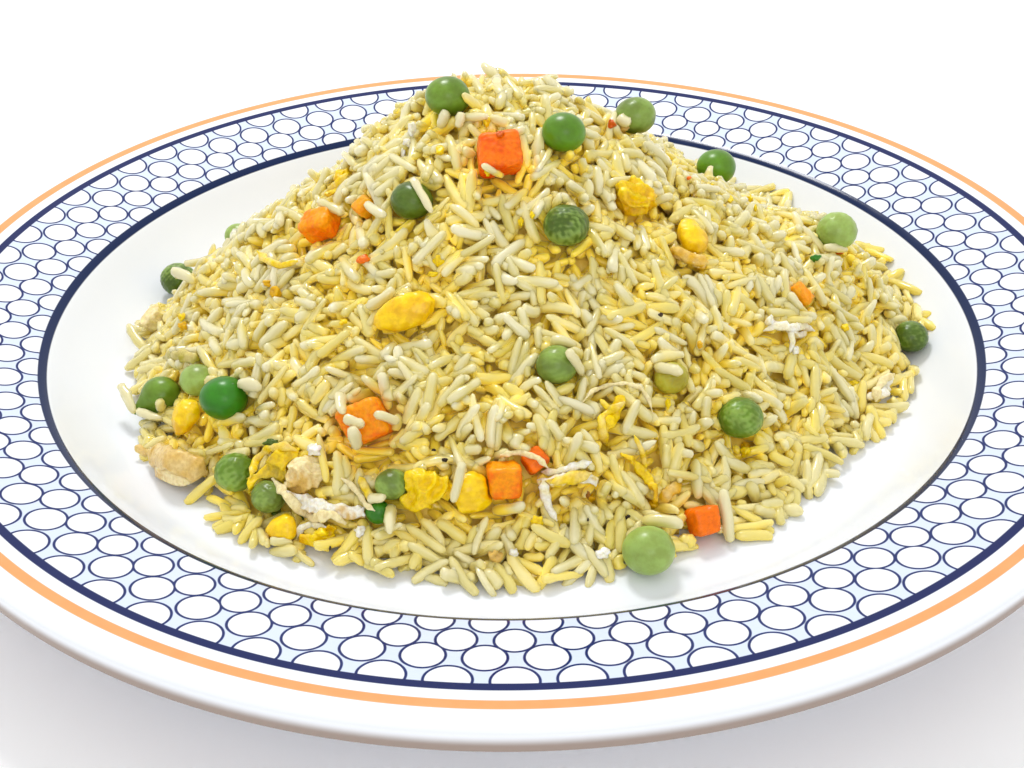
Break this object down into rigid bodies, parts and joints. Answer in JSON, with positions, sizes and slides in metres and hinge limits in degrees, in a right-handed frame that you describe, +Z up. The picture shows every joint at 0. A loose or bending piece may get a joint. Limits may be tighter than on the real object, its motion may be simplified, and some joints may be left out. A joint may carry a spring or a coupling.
{
  "type": "fried rice plate",
  "caption": "Round rimmed dinner plate with a banded border, holding a mound of fried rice with peas, diced carrot, sweetcorn and egg.",
  "frame": {"origin": "on the table under the centre of the plate's foot ring", "axes": "+Z up, -Y towards the diner, +X to the diner's right"},
  "size_m": [0.26, 0.26, 0.0732],
  "materials": {
    "plate": "glossy white melamine, printed border",
    "rice": "moist cooked grains, lightly oiled",
    "pea": "smooth skin, lightly oiled, some wrinkled",
    "carrot": "cut faces, moist",
    "corn": "smooth skin, lightly oiled",
    "egg": "scrambled egg, moist, slightly browned"
  },
  "bodies": {
    "root": {"plate": "plate", "pea_01": "pea", "pea_02": "pea", "pea_03": "pea", "pea_04": "pea", "pea_05": "pea", "pea_06": "pea", "pea_07": "pea", "pea_08": "pea", "pea_09": "pea", "pea_10": "pea", "pea_11": "pea", "pea_12": "pea", "pea_13": "pea", "pea_14": "pea", "pea_15": "pea", "pea_16": "pea", "pea_17": "pea", "pea_18": "pea", "pea_19": "pea", "pea_20": "pea", "pea_21": "pea", "pea_22": "pea", "pea_23": "pea", "pea_24": "pea", "carrot_01": "carrot", "carrot_02": "carrot", "carrot_03": "carrot", "carrot_04": "carrot", "carrot_05": "carrot", "carrot_06": "carrot", "carrot_07": "carrot", "carrot_08": "carrot", "carrot_09": "carrot", "carrot_10": "carrot", "corn_01": "corn", "corn_02": "corn", "corn_03": "corn", "corn_04": "corn", "corn_05": "corn", "corn_06": "corn", "egg_lump_01": "egg", "egg_lump_02": "egg", "egg_lump_03": "egg", "egg_lump_04": "egg", "egg_lump_05": "egg", "egg_lump_06": "egg", "egg_shred_01": "egg", "egg_shred_02": "egg", "egg_shred_03": "egg", "egg_shred_04": "egg", "egg_shred_05": "egg", "egg_shred_06": "egg", "egg_shred_07": "egg", "egg_shred_08": "egg", "egg_shred_09": "egg", "egg_shred_10": "egg", "rice": "rice"}
  },
  "joints": []
}
